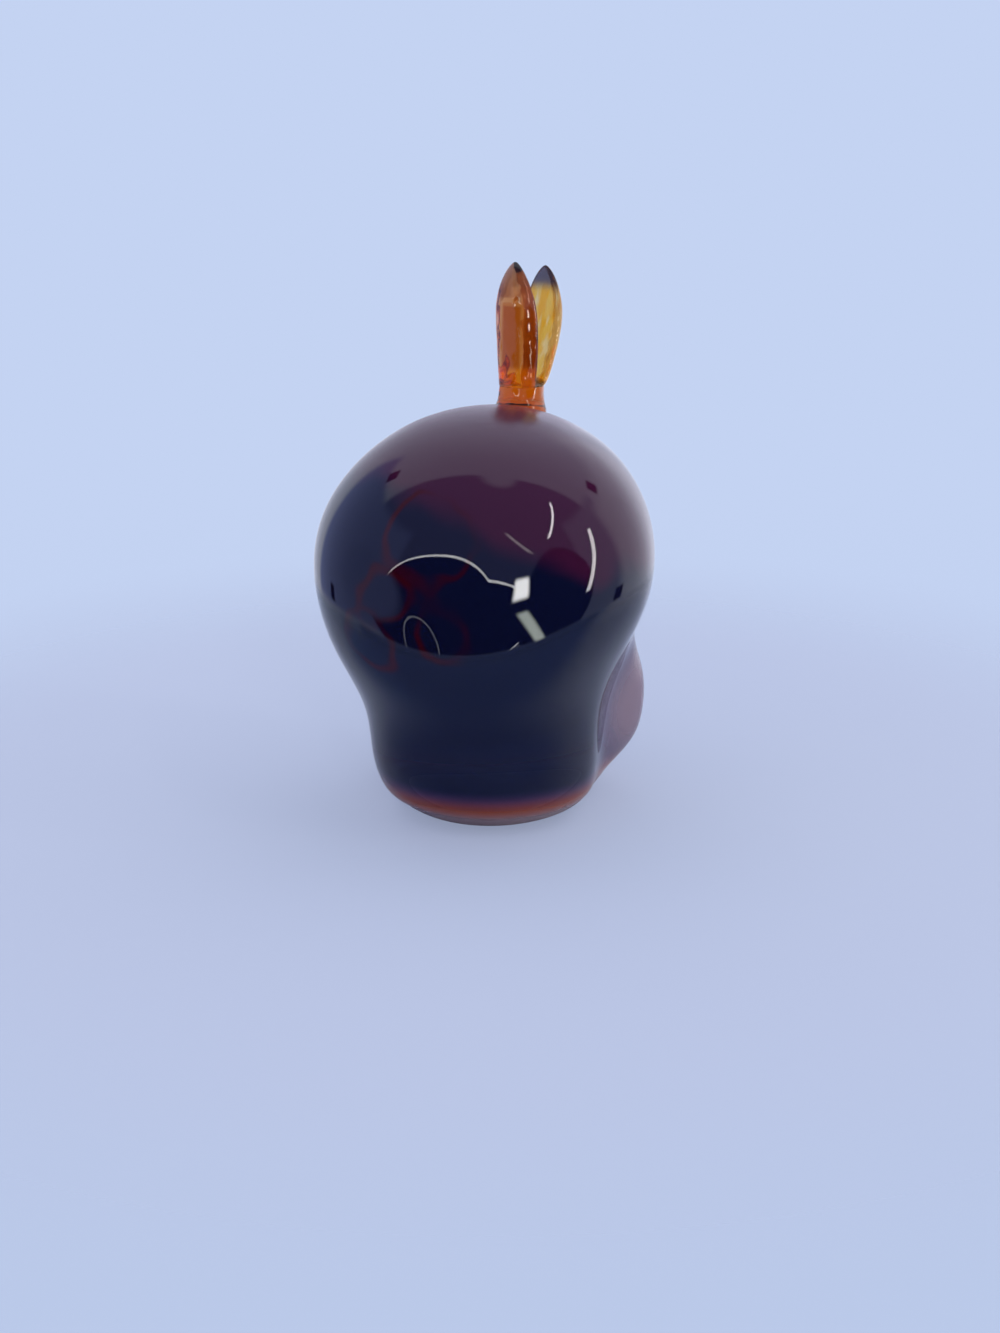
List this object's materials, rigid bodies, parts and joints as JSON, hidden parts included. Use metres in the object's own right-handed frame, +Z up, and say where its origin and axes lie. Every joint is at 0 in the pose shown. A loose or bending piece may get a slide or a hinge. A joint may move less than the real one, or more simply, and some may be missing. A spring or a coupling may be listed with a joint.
{
  "type": "glass whale figurine",
  "caption": "Solid glass whale figurine: a rounded ruby body with a narrow throat and low side lobes, and a split amber tail standing up from its back.",
  "frame": {"origin": "on the surface that the figurine stands on, below the middle of the body's length and width", "axes": "+Z up, -Y towards the nose, +Y towards the tail, X across the body"},
  "size_m": [0.058, 0.074, 0.0905],
  "materials": {
    "ruby_glass": "fire-polished, deep ruby",
    "amber_glass": "fire-polished, clear amber"
  },
  "bodies": {
    "root": {"body": "ruby_glass", "tail_stem": "amber_glass", "front_fluke": "amber_glass", "rear_fluke": "amber_glass"}
  },
  "joints": []
}
